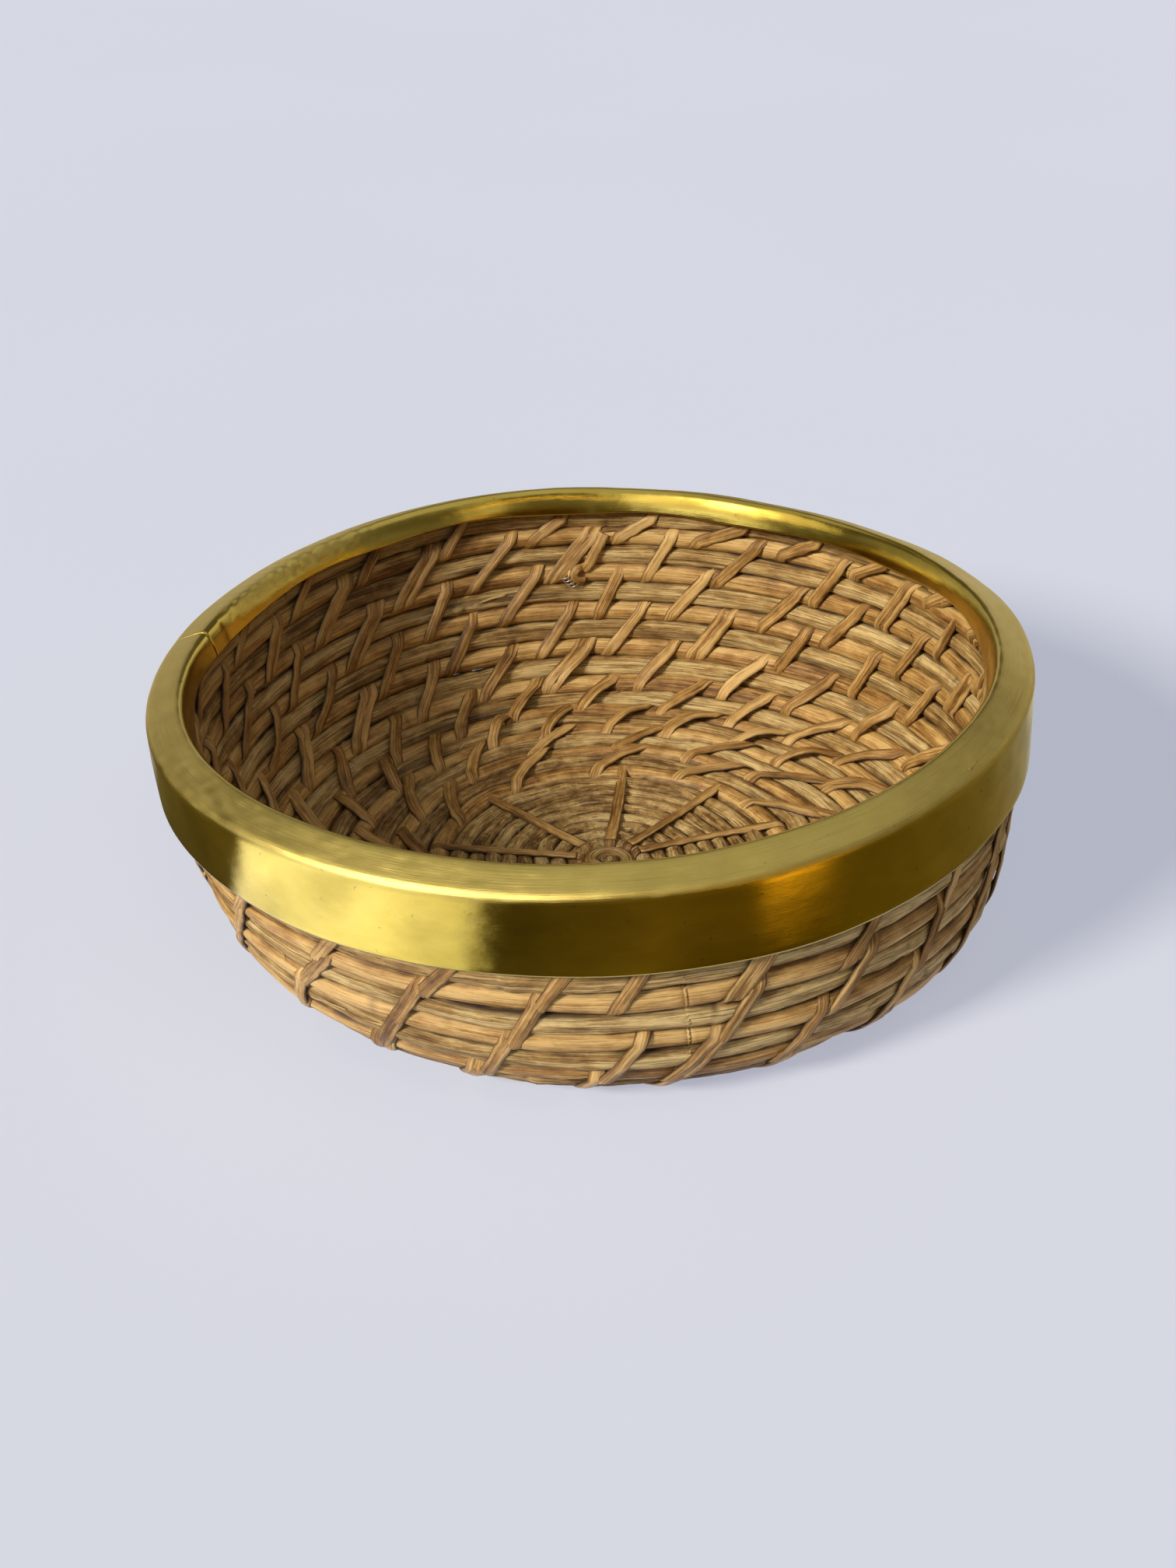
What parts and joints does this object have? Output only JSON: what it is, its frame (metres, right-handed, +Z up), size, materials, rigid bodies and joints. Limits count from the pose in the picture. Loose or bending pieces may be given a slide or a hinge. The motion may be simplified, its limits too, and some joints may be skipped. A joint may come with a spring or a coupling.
{
  "type": "coiled rattan bowl with brass rim",
  "caption": "Shallow round bowl of coiled rattan sewn with flat cane, with a formed brass channel over the rim and an open mouth.",
  "frame": {"origin": "centre of the underside, on the plane the bowl rests on", "axes": "+Z up out of the mouth, along the bowl's axis; +Y towards the back; +X to the right"},
  "size_m": [0.3, 0.3, 0.095],
  "materials": {
    "brass": "hand-formed and polished on the band, satin on top, lightly dented",
    "smooth_rattan": "peeled rattan rod, smooth, low sheen",
    "split_rattan": "split rattan core, rough and fibrous, matt",
    "cane": "flat binding cane with a natural skin, low sheen"
  },
  "bodies": {
    "root": {"brass_rim": "brass", "floor_knot": "smooth_rattan", "floor_turn_1": "split_rattan", "floor_turn_2": "split_rattan", "floor_turn_3": "split_rattan", "floor_turn_4": "split_rattan", "floor_turn_5": "split_rattan", "floor_turn_6": "split_rattan", "floor_turn_7": "split_rattan", "floor_turn_8": "split_rattan", "smooth_rod_01": "smooth_rattan", "split_rod_02": "split_rattan", "smooth_rod_03": "smooth_rattan", "split_rod_04": "split_rattan", "smooth_rod_05": "smooth_rattan", "split_rod_06": "split_rattan", "smooth_rod_07": "smooth_rattan", "split_rod_08": "split_rattan", "smooth_rod_09": "smooth_rattan", "split_rod_10": "split_rattan", "smooth_rod_11": "smooth_rattan", "split_rod_12": "split_rattan", "smooth_rod_13": "smooth_rattan", "split_rod_14": "split_rattan", "smooth_rod_15": "smooth_rattan", "split_rod_16": "split_rattan", "smooth_rod_17": "smooth_rattan", "split_rod_18": "split_rattan", "smooth_rod_19": "smooth_rattan", "floor_straps": "cane", "cane_row_1": "cane", "cane_row_2": "cane", "cane_row_3": "cane", "cane_row_4": "cane", "cane_row_5": "cane", "cane_row_6": "cane", "cane_row_7": "cane", "cane_row_8": "cane", "cane_row_9": "cane"}
  },
  "joints": []
}
